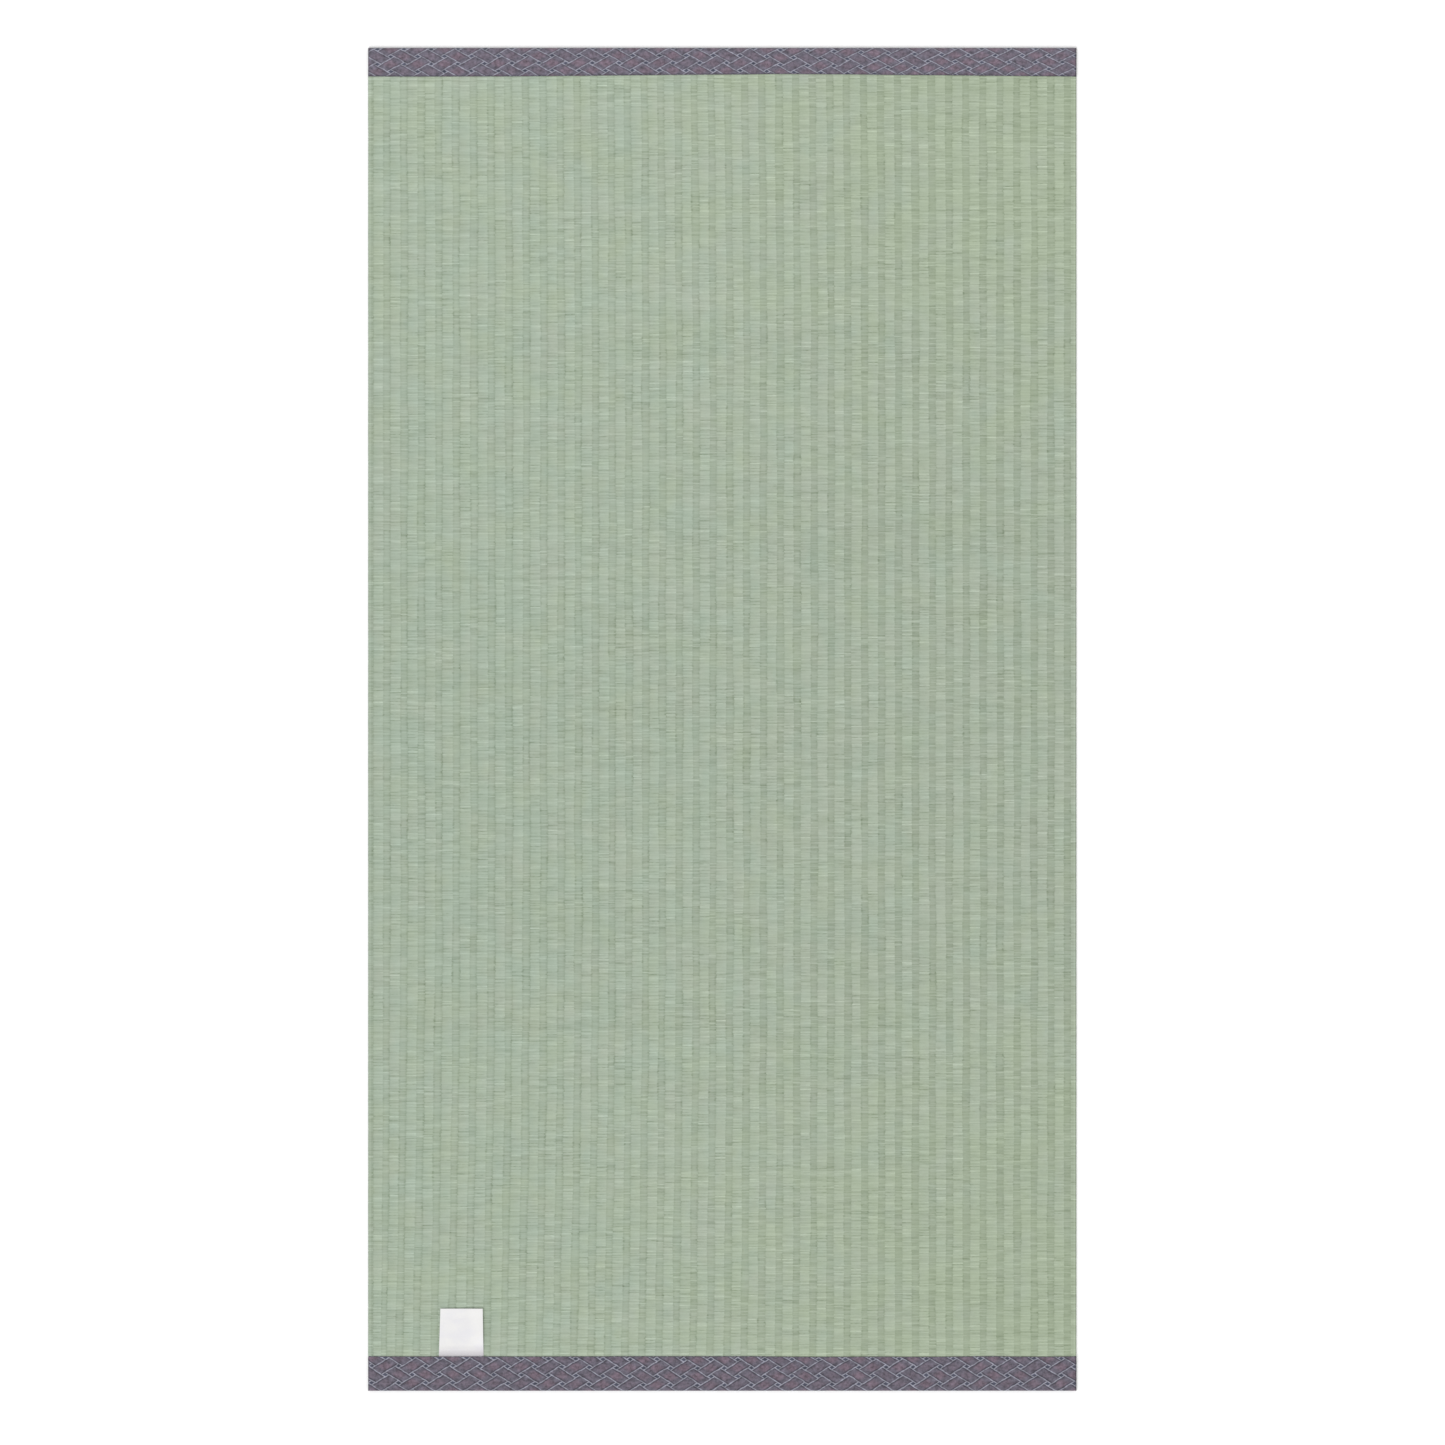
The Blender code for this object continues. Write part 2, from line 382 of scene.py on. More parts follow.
def ease(share):
    """From 0 to 1 with a soft start and a soft end."""
    held = np.clip(share, 0.0, 1.0)
    return held * held * (3 - 2 * held)


def arch(share):
    """A flat-topped arch over 0 to 1, as rushes bulge between two warps."""
    return np.clip(np.sin(np.pi * np.asarray(share)), 0.0, 1.0) ** ARCH_POWER


def smoothed(values, width):
    """values, averaged along their first axis over a window, and brought back to a spread of 1."""
    kernel = np.hanning(width + 2)[1:-1]
    blurred = np.apply_along_axis(lambda line: np.convolve(line, kernel, mode="same"), 0, values)
    return blurred / blurred.std()


def slipped(x, steps):
    """The sum at x of soft steps, each with a start, a stop and a height."""
    return sum((by * ease((x - start) / (stop - start)) for start, stop, by in steps), np.zeros_like(x))


def foot_seam(x):
    """Where the foot border's lip crosses x."""
    return np.full_like(np.asarray(x, float), FOOT_SEAM)


def head_seam(x):
    """Where the head border's lip crosses x."""
    return HEAD_SEAM + HEAD_BOW * np.cos(np.pi * (np.asarray(x, float) - HEAD_BOW_MIDDLE) / HEAD_BOW_HALF)


def tag_floor(y):
    """The tag's underside at y: level under the border's lip, then eased up onto the ribs."""
    under_lip = BORDER_HEIGHT - INSIDE_CLOTH - TAG_THICKNESS
    on_ribs = FACING_HEIGHT + GAP
    share = np.clip((y - FOOT_SEAM - TAG_LEVEL_PAST_SEAM) / TAG_RAMP, 0.0, 1.0)
    return under_lip + (on_ribs - under_lip) * (1 - np.cos(np.pi * share)) / 2


def tag_sides(y):
    """The tag's left and right edges at y."""
    share = (y - FOOT_SEAM) / TAG_LENGTH
    left = TAG_SEAM_LEFT + (TAG_TOP_LEFT - TAG_SEAM_LEFT) * share
    right = TAG_SEAM_RIGHT + (TAG_TOP_RIGHT - TAG_SEAM_RIGHT) * share
    return left, right


def grid_normals(points):
    """The direction out of a closed tube of rings at every point, taken from its neighbours."""
    along = np.gradient(points, axis=0)
    around = np.roll(points, -1, axis=1) - np.roll(points, 1, axis=1)
    normals = np.cross(along, around)
    normals /= np.maximum(np.linalg.norm(normals, axis=2, keepdims=True), NO_LENGTH)
    outward = points - points.mean(axis=1, keepdims=True)
    return normals if (normals * outward).sum() > 0 else -normals


def grid_piece(name, points, maps, capped, normals=None):
    """A closed mesh from rings of points, (rings, around, 3), with each ring joined to the next.

    maps gives UV maps as (rings, around + 1, 2): one place more, where a ring comes back to its
    start. The two ends are capped, or closed where they already meet. normals, where given, keep
    the shading even across the join with the next piece.
    """
    rings, around = points.shape[:2]
    index = np.arange(rings * around).reshape(rings, around)
    following = np.roll(index, -1, axis=1)
    quads = np.stack([index[:-1], following[:-1], following[1:], index[1:]], axis=-1).reshape(-1, 4)
    faces = quads.tolist()
    if capped:
        faces += [index[0][::-1].tolist(), index[-1].tolist()]
    mesh = bpy.data.meshes.new(name)
    mesh.from_pydata(points.reshape(-1, 3).tolist(), [], faces)
    for map_name, places in maps.items():
        corners = np.stack([places[:-1, :-1], places[:-1, 1:], places[1:, 1:], places[1:, :-1]], axis=2)
        corners = corners.reshape(-1, 2)
        if capped:
            corners = np.concatenate([corners, places[0, :-1][::-1], places[-1, :-1]])
        layer = mesh.uv_layers.new(name=map_name)
        layer.uv.foreach_set("vector", np.ascontiguousarray(corners, np.float32).ravel())
    tidy = bmesh.new()
    tidy.from_mesh(mesh)
    if not capped:
        bmesh.ops.remove_doubles(tidy, verts=tidy.verts, dist=ONE_POINT)
    if tidy.calc_volume(signed=True) < 0:
        bmesh.ops.reverse_faces(tidy, faces=tidy.faces)
    tidy.to_mesh(mesh)
    tidy.free()
    mesh.shade_smooth()
    if normals is not None:
        mesh.normals_split_custom_set_from_vertices(normals.reshape(-1, 3).tolist())
    piece = bpy.data.objects.new(name, mesh)
    bpy.context.collection.objects.link(piece)
    return piece


def dress(piece, node, material):
    """Gives a piece its material, and has it stand for a node of the CAD on the one body."""
    piece.data.materials.append(material)
    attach(piece, "root")
    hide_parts(node)


class Graph:
    """A material's nodes, written as a formula: each call adds a node and gives its output."""

    def __init__(self, name):
        self.material = bpy.data.materials.new(name)
        self.material.use_nodes = True
        self.tree = self.material.node_tree
        self.shader = self.tree.nodes["Principled BSDF"]

    def feed(self, socket, value):
        if isinstance(value, bpy.types.NodeSocket):
            self.tree.links.new(value, socket)
        elif value is not None:
            socket.default_value = value

    def add(self, kind, inputs, output=0, **settings):
        node = self.tree.nodes.new(kind)
        for key, value in settings.items():
            setattr(node, key, value)
        for key, value in inputs.items():
            self.feed(node.inputs[key], value)
        return node.outputs[output]

    def maths(self, operation, first, second=None):
        return self.add("ShaderNodeMath", {0: first, 1: second}, operation=operation)

    def times(self, first, second):
        return self.maths("MULTIPLY", first, second)

    def plus(self, first, second):
        return self.maths("ADD", first, second)

    def minus(self, first, second):
        return self.maths("SUBTRACT", first, second)

    def floor(self, value):
        return self.maths("FLOOR", value)

    def rest(self, value):
        """What is past the whole number."""
        return self.maths("FRACT", value)

    def off(self, value, centre):
        """How far value is from centre."""
        return self.maths("ABSOLUTE", self.minus(value, centre))

    def ramp(self, value, low, high, start=0.0, stop=1.0):
        """start where value is low, stop where it is high, and a soft step between."""
        inputs = {"Value": value, "From Min": low, "From Max": high, "To Min": start, "To Max": stop}
        return self.add("ShaderNodeMapRange", inputs, interpolation_type="SMOOTHSTEP")

    def fade(self, distance, reach, height):
        """height at no distance, falling softly to nothing at reach."""
        return self.ramp(distance, 0.0, reach, height, 0.0)

    def parts(self, vector):
        node = self.add("ShaderNodeSeparateXYZ", {0: vector}).node
        return node.outputs[0], node.outputs[1], node.outputs[2]

    def place(self):
        return self.add("ShaderNodeTexCoord", {}, "Object")

    def map_parts(self, name):
        """The two coordinates of a UV map."""
        return self.parts(self.add("ShaderNodeUVMap", {}, uv_map=name))[:2]

    def chance(self, x, y, kind):
        """A random value from 0 to 1 for each pair of whole numbers, another for each kind."""
        spot = self.add("ShaderNodeCombineXYZ", {0: x, 1: y, 2: kind})
        return self.add("ShaderNodeTexWhiteNoise", {0: spot}, noise_dimensions="3D")

    def noise_at(self, spot, detail=1.0, roughness=0.5):
        inputs = {"Vector": spot, "Scale": 1.0, "Detail": detail, "Roughness": roughness}
        return self.add("ShaderNodeTexNoise", inputs, "Fac")

    def noise(self, across, along, detail=1.0, roughness=0.5, kind=0.0):
        """Soft noise with so many swells to a metre across the mat and along it."""
        scaled = {0: self.place(), 1: (across, along, across), 2: (kind, kind, kind)}
        spot = self.add("ShaderNodeVectorMath", scaled, operation="MULTIPLY_ADD")
        return self.noise_at(spot, detail, roughness)

    def even_out(self, noise, size):
        """Noise brought to lie about nothing, at a size."""
        return self.times(self.minus(noise, 0.5), size)

    def blend(self, share, first, second):
        node = self.add("ShaderNodeMix", {}, data_type="RGBA").node
        for number, value in ((0, share), (6, first), (7, second)):
            self.feed(node.inputs[number], value)
        return node.outputs[2]

    def brighter(self, colour, factor, lean=(1.0, 1.0, 1.0)):
        """colour with its light multiplied by factor. Each of its three lights follows by its lean."""
        change = self.minus(factor, 1.0)
        inputs = {0: change, 1: lean, 2: (1.0, 1.0, 1.0)}
        factors = self.add("ShaderNodeVectorMath", inputs, operation="MULTIPLY_ADD")
        return self.add("ShaderNodeVectorMath", {0: colour, 1: factors}, operation="MULTIPLY")

    def bump(self, height, distance, strength):
        inputs = {"Height": height, "Distance": distance, "Strength": strength}
        return self.add("ShaderNodeBump", inputs)

    def finish(self, colour, roughness, normal, even):
        """Joins the outputs to the shader, and sets what is even all over on its own sockets."""
        self.feed(self.shader.inputs["Base Color"], colour)
        self.feed(self.shader.inputs["Roughness"], roughness)
        self.feed(self.shader.inputs["Normal"], normal)
        for key, value in even.items():
            self.shader.inputs[key].default_value = value
        return self.material


def rush_lines(graph, doubled, rush_number, column_number, raised, patchy):
    """Painted shade in the gaps between rushes, painted gleams along them, their own tones, and streaks, as
    a share of light.
    """
    broken = graph.ramp(graph.noise(*BREAKS), *BREAK_READING)
    half_on = graph.plus(doubled, 0.5)
    line_number = graph.floor(half_on)
    within_shed = graph.maths("MODULO", line_number, 2.0)
    between_sheds = graph.plus(0.5, graph.times(raised, graph.minus(0.5, within_shed)))
    # The dark lines are painted shade in the gaps between rushes, deepest between sheds
    gap_shade_depth = graph.maths("POWER", graph.chance(line_number, column_number, LINE_CHANCE), LINE_RARITY)
    gap_shade_depth = graph.plus(LINE_LEAST, graph.times(gap_shade_depth, 1 - LINE_LEAST))
    shed_depth = graph.plus(LINE_IN_SHED, graph.times(between_sheds, LINE_BETWEEN_SHEDS))
    gap_shade_depth = graph.times(gap_shade_depth, shed_depth)
    gap_shade_depth = graph.times(graph.times(gap_shade_depth, patchy), broken)
    line = graph.times(graph.fade(graph.off(graph.rest(half_on), 0.5), 0.5, RUSH_GAP_SHADE), gap_shade_depth)

    # The gleams are painted highlights along some rushes' crests
    painted_gleam = graph.maths("POWER", graph.chance(rush_number, column_number, GLEAM_CHANCE), GLEAM_RARITY)
    from_crest = graph.off(graph.rest(doubled), GLEAM_PLACE)
    painted_gleam = graph.times(painted_gleam, graph.fade(from_crest, GLEAM_PLACE, RUSH_PAINTED_GLEAM))
    painted_gleam = graph.times(graph.times(painted_gleam, patchy), broken)

    tone = graph.even_out(graph.chance(rush_number, column_number, TONE_CHANCE), RUSH_TONE)
    streak = graph.even_out(graph.noise(*STREAKS), RUSH_STREAK)
    uneven = graph.times(graph.plus(tone, streak), patchy)
    return graph.minus(graph.plus(uneven, painted_gleam), line)


def long_rows(graph, x, rush_number, rush_set):
    """Each rush's own light along its whole run, and broad bands of duller rushes, as a share of light."""
    along_rush = graph.times(x, ROW_SWELLS)
    rush_apart = graph.times(rush_number, ROW_STEP)
    set_apart = graph.plus(graph.times(rush_set, SET_STEP), SET_START)
    spot = graph.add("ShaderNodeCombineXYZ", {0: along_rush, 1: rush_apart, 2: set_apart})
    own = graph.even_out(graph.noise_at(spot, ROW_DETAIL, ROW_ROUGHNESS), LONG_TONE)
    return graph.plus(own, graph.even_out(graph.noise(*BANDS), BAND_TONE))


def rush_edges(graph, x, row):
    """Painted shade on the selvage's rim and in its groove, a painted highlight on its bead, and the paler
    rush beside a seam, as a share of light.
    """
    from_side = graph.minus(SIDE, graph.maths("ABSOLUTE", x))
    # Painted shade on the rounded rim and in the groove, and a painted highlight on the bead between them
    rim_shade = graph.ramp(from_side, *RIM_REACH, RIM_PAINTED_SHADE, 0.0)
    bead_highlight = graph.fade(graph.off(from_side, BEAD_OFF), BEAD_REACH, BEAD_PAINTED_HIGHLIGHT)
    groove = graph.fade(graph.off(from_side, GROOVE_OFF), GROOVE_REACH, GROOVE_PAINTED_SHADE)
    from_seam = graph.minus(RUSHES / 2, graph.off(row, RUSHES / 2))
    pale = graph.ramp(from_seam, *SEAM_ROWS, SEAM_LIGHT, 0.0)
    return graph.minus(graph.plus(bead_highlight, pale), graph.plus(rim_shade, groove))


def painted_pinch_shade(graph, x, column, along, rush_number, raised):
    """Painted shade where a warp pinches the rushes, most where they climb, with runs of dark dots, as a
    share.
    """
    warp_number = graph.floor(graph.plus(column, 0.5))
    climbs = graph.maths("MODULO", warp_number, 2.0)
    width = graph.plus(LOW_COLUMN_WIDTH, graph.times(raised, RAISED_COLUMN_WIDTH - LOW_COLUMN_WIDTH))
    warp_off = graph.times(graph.minus(0.5, graph.off(along, 0.5)), width)
    run = graph.ramp(graph.noise(*DOT_RUNS), *DOT_RUN_READING)
    dot = graph.maths("POWER", graph.chance(rush_number, warp_number, DOT_CHANCE), DOT_RARITY)
    dot = graph.times(graph.times(dot, PINCH_DOT), run)
    # The pinch lines are painted shade in the creases where the warps pinch the rushes, stronger on the
    # left
    dive = graph.ramp(x, *PINCH_ACROSS, DIVE_PINCH, RIGHT_PINCH)
    climb = graph.times(climbs, graph.ramp(x, *PINCH_ACROSS, CLIMB_PINCH, RIGHT_PINCH))
    pinch_shade = graph.plus(dot, graph.plus(dive, climb))
    reach = graph.minus(LOW_PINCH_REACH, graph.times(raised, RAISED_PINCH_SHORTER))
    return graph.times(graph.fade(warp_off, reach, 1.0), pinch_shade)


def rush_hue(graph, x, y):
    """From green to grey in patches, greyer towards the right, and strawy most at the right's two ends."""
    grey = graph.plus(graph.noise(*GREY_PATCHES), graph.ramp(x, *SHADE_ACROSS, *GREY_ADDED))
    colour = graph.blend(graph.ramp(grey, *GREY_READING), RUSH_GREEN, RUSH_GREY)
    far_along = graph.ramp(graph.maths("ABSOLUTE", y), *STRAW_ALONG)
    far = graph.times(far_along, graph.ramp(x, *STRAW_ACROSS))
    straw = graph.plus(graph.noise(*STRAW_PATCHES), far)
    return graph.blend(graph.ramp(straw, *STRAW_READING), colour, RUSH_STRAW)


def rush_material():
    """Split rushes, two to a shed, each its own green, seen column by column between the warps."""
    graph = Graph("woven_rush")
    straight_column, row = graph.map_parts("weave")
    x, y, _ = graph.parts(graph.place())

    # A column's edge isn't quite straight: the warp bites each rush at a slightly different place
    column = graph.plus(straight_column, graph.even_out(graph.noise(*BITES), BITE_SIZE))
    column_number = graph.floor(column)
    along = graph.rest(column)
    raised = graph.maths("MODULO", column_number, 2.0)
    rib = graph.floor(graph.times(graph.plus(column_number, 1.0), 0.5))
    rush_set = graph.maths("MODULO", rib, 2.0)
    doubled = graph.plus(graph.times(row, 2.0), graph.minus(1.0, rush_set))
    rush_number = graph.floor(doubled)
    patchy = graph.ramp(graph.noise(*PATCHES), *PATCH_READING)
    light = graph.plus(1.0, rush_lines(graph, doubled, rush_number, column_number, raised, patchy))
    light = graph.plus(light, long_rows(graph, x, rush_number, rush_set))
    light = graph.minus(light, painted_pinch_shade(graph, x, column, along, rush_number, raised))

    # The low columns get painted shade, the more so towards the right, and the raised ones painted light
    # that grows across each
    painted_low_shade = graph.ramp(x, *SHADE_ACROSS, LOW_PAINTED_SHADE_LEFT, LOW_PAINTED_SHADE_RIGHT)
    light = graph.minus(light, graph.times(graph.minus(1.0, raised), painted_low_shade))
    painted_column_light = graph.ramp(x, *PINCH_ACROSS, COLUMN_PAINTED_LIGHT_LEFT, COLUMN_PAINTED_LIGHT_RIGHT)
    light = graph.plus(light, graph.times(graph.times(raised, graph.minus(along, 0.5)), painted_column_light))
    # Painted broad light and shade: lighter towards the head and the foot, a little shade in the middle and
    # right of the middle
    light = graph.plus(light, graph.ramp(y, HEAD_PAINTED_LIGHT_START, HEAD_END, 0.0, HEAD_PAINTED_LIGHT))
    light = graph.plus(light, graph.ramp(y, *FOOT_PAINTED_LIGHT_ALONG, FOOT_PAINTED_LIGHT, -MIDDLE_PAINTED_SHADE))
    light = graph.minus(light, graph.ramp(x, *RIGHT_PAINTED_SHADE_ACROSS, 0.0, RIGHT_PAINTED_SHADE))
    light = graph.plus(light, rush_edges(graph, x, row))
    colour = graph.brighter(rush_hue(graph, x, y), light, RUSH_SHADE_LEAN)

    # Fine fibres run along each round rush
    fibres = graph.noise(*FIBRES)
    across = graph.rest(doubled)
    roundness = graph.maths("SQRT", graph.times(across, graph.minus(1.0, across)))
    height = graph.plus(graph.times(roundness, ROUNDNESS_RELIEF), graph.times(fibres, FIBRE_RELIEF))
    roughness = graph.ramp(fibres, *FIBRE_ROUGHNESS)
    even = {"Specular IOR Level": 0.35, "Sheen Weight": 0.08, "Sheen Roughness": 0.4}
    return graph.finish(colour, roughness, graph.bump(height, *RUSH_BUMP), even)


def strip_colour(graph, off, end_off, numbers, kind, at_head):
    """A strip of the lattice: light lines along its two sides, dark beside them, and a plank between."""
    inner = STRIP_LIMIT - STRIP_LINE
    brightest = graph.ramp(at_head, 0.0, 1.0, 1.0, HEAD_LINE)
    darkest = graph.ramp(at_head, 0.0, 1.0, 1.0, HEAD_SHADOW)
    line = graph.ramp(off, inner - STRIP_SOFTNESS, inner + STRIP_SOFTNESS, 0.0, brightest)
    shadow = graph.ramp(off, inner - STRIP_SHADOW, inner, 0.0, darkest)
    middle = graph.ramp(end_off, *PLANK_FADE)
    tone = graph.ramp(graph.chance(*numbers, kind), *PLANK_TONES)
    plank = graph.blend(graph.times(middle, tone), PLANK_END, PLANK_MIDDLE)
    plank = graph.blend(shadow, plank, PLANK_SHADOW)
    return graph.blend(line, plank, STRIP_LIGHT)


def lattice_colour(graph):
    """The whole lattice: rising and falling strips that pass over each other by turns, and dark holes."""
    along, across = graph.map_parts("lattice")
    along = graph.plus(along, graph.even_out(graph.noise(*ALONG_WANDER), ALONG_WANDER_SIZE))
    across = graph.plus(across, graph.even_out(graph.noise(*ACROSS_WANDER), ACROSS_WANDER_SIZE))
    rising_line = graph.minus(along, across)
    falling_line = graph.plus(along, across)
    numbers = (graph.floor(falling_line), graph.floor(rising_line))
    rising_off = graph.off(graph.rest(rising_line), 0.5)
    falling_off = graph.off(graph.rest(falling_line), 0.5)
    rising_over = graph.minus(1.0, graph.maths("MODULO", graph.off(*numbers), 2.0))

    # The strip that shows is the upper one where both lie, else whichever lies there
    edges = (STRIP_LIMIT - STRIP_SOFTNESS, STRIP_LIMIT + STRIP_SOFTNESS, 1.0, 0.0)
    on_rising = graph.ramp(rising_off, *edges)
    on_falling = graph.ramp(falling_off, *edges)
    rising_shows = graph.maths("MAXIMUM", rising_over, graph.minus(1.0, on_falling))
    rising_shows = graph.times(rising_shows, on_rising)
    falling_shows = graph.times(on_falling, graph.minus(1.0, rising_shows))
    hole = graph.minus(graph.minus(1.0, rising_shows), falling_shows)
    at_head = graph.maths("GREATER_THAN", graph.parts(graph.place())[1], 0.0)
    rising_colour = strip_colour(graph, rising_off, falling_off, numbers, RISING_CHANCE, at_head)
    falling_colour = strip_colour(graph, falling_off, rising_off, numbers, FALLING_CHANCE, at_head)
    colour = graph.blend(rising_shows, falling_colour, rising_colour)
    line_height = graph.ramp(graph.maths("MAXIMUM", rising_off, falling_off), *LINE_EDGE)
    return graph.blend(hole, colour, HOLE_DARK), line_height


def border_material():
    """Border cloth: the lattice in dull purple with light lines, woven in close uneven threads."""
    graph = Graph("border_cloth")
    colour, line_height = lattice_colour(graph)
    x, y, z = graph.parts(graph.place())
    past_lip, from_side = graph.map_parts("edge")
    threads = graph.maths("SINE", graph.times(x, 2 * math.pi / THREAD_PITCH))
    wefts = graph.maths("SINE", graph.times(graph.plus(y, z), 2 * math.pi / WEFT_PITCH))
    weave = graph.times(threads, wefts)
    grain = graph.noise(*GRAIN)
    light = graph.plus(graph.ramp(grain, *GRAIN_LIGHT), graph.times(weave, WEAVE_LIGHT))
    light = graph.plus(light, graph.even_out(graph.noise(*MOTTLE), MOTTLE_SIZE))

    # Painted shade along the head's lip and at the closed ends, and the head's cloth a little paler
    lip_painted_shade = graph.ramp(y, *ABOUT_MIDDLE, 1.0, HEAD_LIP_PAINTED_SHADE)
    light = graph.times(light, graph.ramp(past_lip, *LIP_REACH, lip_painted_shade, 1.0))
    end_painted_shade = graph.ramp(x, *ABOUT_MIDDLE, LEFT_END_PAINTED_SHADE, RIGHT_END_PAINTED_SHADE)
    light = graph.times(light, graph.ramp(from_side, *END_REACH, end_painted_shade, 1.0))
    light = graph.times(light, graph.ramp(y, *ABOUT_MIDDLE, 1.0, HEAD_CLOTH))
    colour = graph.brighter(colour, light)
    printed = graph.plus(graph.times(grain, GRAIN_RELIEF), graph.times(line_height, LINE_RELIEF))
    height = graph.plus(graph.times(weave, WEAVE_RELIEF), printed)
    roughness = graph.ramp(grain, *GRAIN_ROUGHNESS)
    even = {"Specular IOR Level": 0.3, "Sheen Weight": 0.15, "Sheen Roughness": 0.5}
    return graph.finish(colour, roughness, graph.bump(height, *CLOTH_BUMP), even)


def satin_material():
    """White satin ribbon with a close grain, with painted shade where it turns down under the border."""
    graph = Graph("tag_satin")
    x, y, _ = graph.parts(graph.place())
    threads = graph.maths("SINE", graph.times(x, 2 * math.pi / SATIN_THREAD_PITCH))
    floats = graph.noise(*FLOATS)
    cloudy = graph.ramp(graph.noise(*CLOUDS), *CLOUD_READING)
    # Painted shade where the tag bends down under the border's lip
    painted_shade_near_seam = graph.ramp(y, FOOT_SEAM, FOOT_SEAM + SATIN_PAINTED_SHADE_RUN, 1.0, 0.0)
    colour = graph.blend(cloudy, SATIN_WHITE, SATIN_GREY)
    colour = graph.blend(painted_shade_near_seam, colour, SATIN_PAINTED_SHADE)
    height = graph.plus(graph.times(threads, SATIN_THREAD_RELIEF), graph.times(floats, FLOAT_RELIEF))
    roughness = graph.ramp(floats, *FLOAT_ROUGHNESS)
    even = {"Specular IOR Level": 0.5, "Anisotropic": 0.4}
    return graph.finish(colour, roughness, graph.bump(height, *SATIN_BUMP), even)


def column_at(x):
    """The column coordinate at x: it goes up by one for each low or raised column."""
    pitches, along = divmod(x - FIRST_COLUMN_EDGE, RIB_PITCH)
    if along < LOW_COLUMN_WIDTH:
        return 2 * pitches + along / LOW_COLUMN_WIDTH
    return 2 * pitches + 1 + (along - LOW_COLUMN_WIDTH) / RAISED_COLUMN_WIDTH


def height_at(x):
    """The top of the rushes at x, before the mat's edges round it off."""
    column = column_at(x)
    crown = RAISED_CROWN if int(column) % 2 else LOW_CROWN
    groove = GROOVE_DEPTH * math.exp(-((SIDE - abs(x) - GROOVE_OFF) / GROOVE_HALF_WIDTH) ** 2)
    return PINCHED_HEIGHT + crown * float(arch(column % 1.0)) - groove


def drifted(x):
    """Where the weave has carried a column that began at x: furthest a third of the way across."""
    past_peak = max(0.0, x + SIDE - DRIFT_RUN)
    shift = COLUMN_DRIFT * ease((x + SIDE) / DRIFT_RUN) * math.exp(-past_peak / DRIFT_FALL)
    return x + float(shift * ease((SIDE - x) / LEAN_MARGIN))


def leaned(x, y):
    """How far the columns lean to the left: at the foot, most on its left side, and at the head."""
    foot = FOOT_LEAN * (np.clip(FOOT_LEAN_START - y, 0.0, None) / FOOT_LEAN_RUN) ** 2
    foot = foot * (1 - ease((x - FOOT_LEAN_LEFT) / FOOT_LEAN_WIDTH))
    head = HEAD_LEAN * (np.clip(y - HEAD_LEAN_START, 0.0, None) / HEAD_LEAN_RUN) ** 2
    head = head * np.cos(np.pi / 2 * np.clip(x / SIDE, -1.0, 1.0))
    return -(foot + head) * ease((SIDE - np.abs(x)) / LEAN_MARGIN)


def top_places():
    """Places across the mat where its top is shaped, between the two shoulders."""
    places = []
    for side in (-1, 1):
        places += [side * (SIDE - GROOVE_OFF + step * GROOVE_HALF_WIDTH) for step in (-1, 0, 1)]
    for pair in range(COLUMN_PAIRS):
        low_edge = FIRST_COLUMN_EDGE + pair * RIB_PITCH
        places += [low_edge + LOW_COLUMN_WIDTH * share for share in LOW_SHARES]
        places += [low_edge + LOW_COLUMN_WIDTH + RAISED_COLUMN_WIDTH * share for share in RAISED_SHARES]
    return sorted(x for x in places if abs(x) < SIDE - UPPER_SHOULDER - GAP)


def shoulder(side):
    """The facing's rounded long edge from its top to the floor, as rows of facing_section."""
    turns = [math.pi / 2 * step / SHOULDER_STEPS for step in range(SHOULDER_STEPS + 1)]
    arc_top = height_at(side * (SIDE - UPPER_SHOULDER))
    arc_foot = PINCHED_HEIGHT - UPPER_SHOULDER
    rows = []
    for turn in turns:
        x = side * (SIDE - UPPER_SHOULDER * (1 - math.sin(turn)))
        z = arc_foot + (arc_top - arc_foot) * math.cos(turn)
        rows.append((x, z, column_at(x), SHOULDER_BULGE, -side * math.sin(turn), -math.cos(turn)))
    for turn in turns:
        x = side * (SIDE - LOWER_SHOULDER * (1 - math.cos(turn)))
        z = LOWER_SHOULDER * (1 - math.sin(turn))
        column = column_at(x) + side * 0.5
        rows.append((x, z, column, UNDERSIDE_BULGE, -side * math.cos(turn), math.sin(turn)))
    return rows


def underside(first_column):
    """The facing's underside from right to left, as rows of facing_section, with its ribs flatter."""
    half_pitch = RIB_PITCH / 2
    inner = SIDE - LOWER_SHOULDER
    rows = []
    for step in range(1, 2 * int(2 * inner / half_pitch)):
        bulge = float(step % 2)
        x = inner - step * half_pitch / 2
        z = UNDERSIDE_CROWN * (1 - bulge)
        column = first_column + step / 2
        rows.append((x, z, column, UNDERSIDE_BULGE * bulge, 0.0, 1.0))
    return rows


def facing_section():
    """Once round the facing's section: over its top from left to right, and back underneath.

    Gives arrays: x, z, the column coordinate, how far the place bulges between its warps, and the
    direction into the sheet.
    """
    top = []
    for x in top_places():
        column = column_at(x)
        top.append((drifted(x), height_at(x), column, float(arch(column % 1.0)), 0.0, -1.0))
    right = shoulder(1)
    first_column = math.ceil(right[-1][2])
    return np.array(top + right + underside(first_column) + shoulder(-1)[::-1]).T


def rush_shares(dice):
    """Where the rushes' sides and crests lie, by turns, as shares of the facing's length."""
    widths = 1 + RUSH_WIDTH_SPREAD * dice.standard_normal(2 * RUSHES)
    widths = np.clip(widths, RUSH_WIDTH_LEAST, RUSH_WIDTH_MOST)
    edges = np.concatenate([[0.0], np.cumsum(widths)])
    return edges / edges[-1]


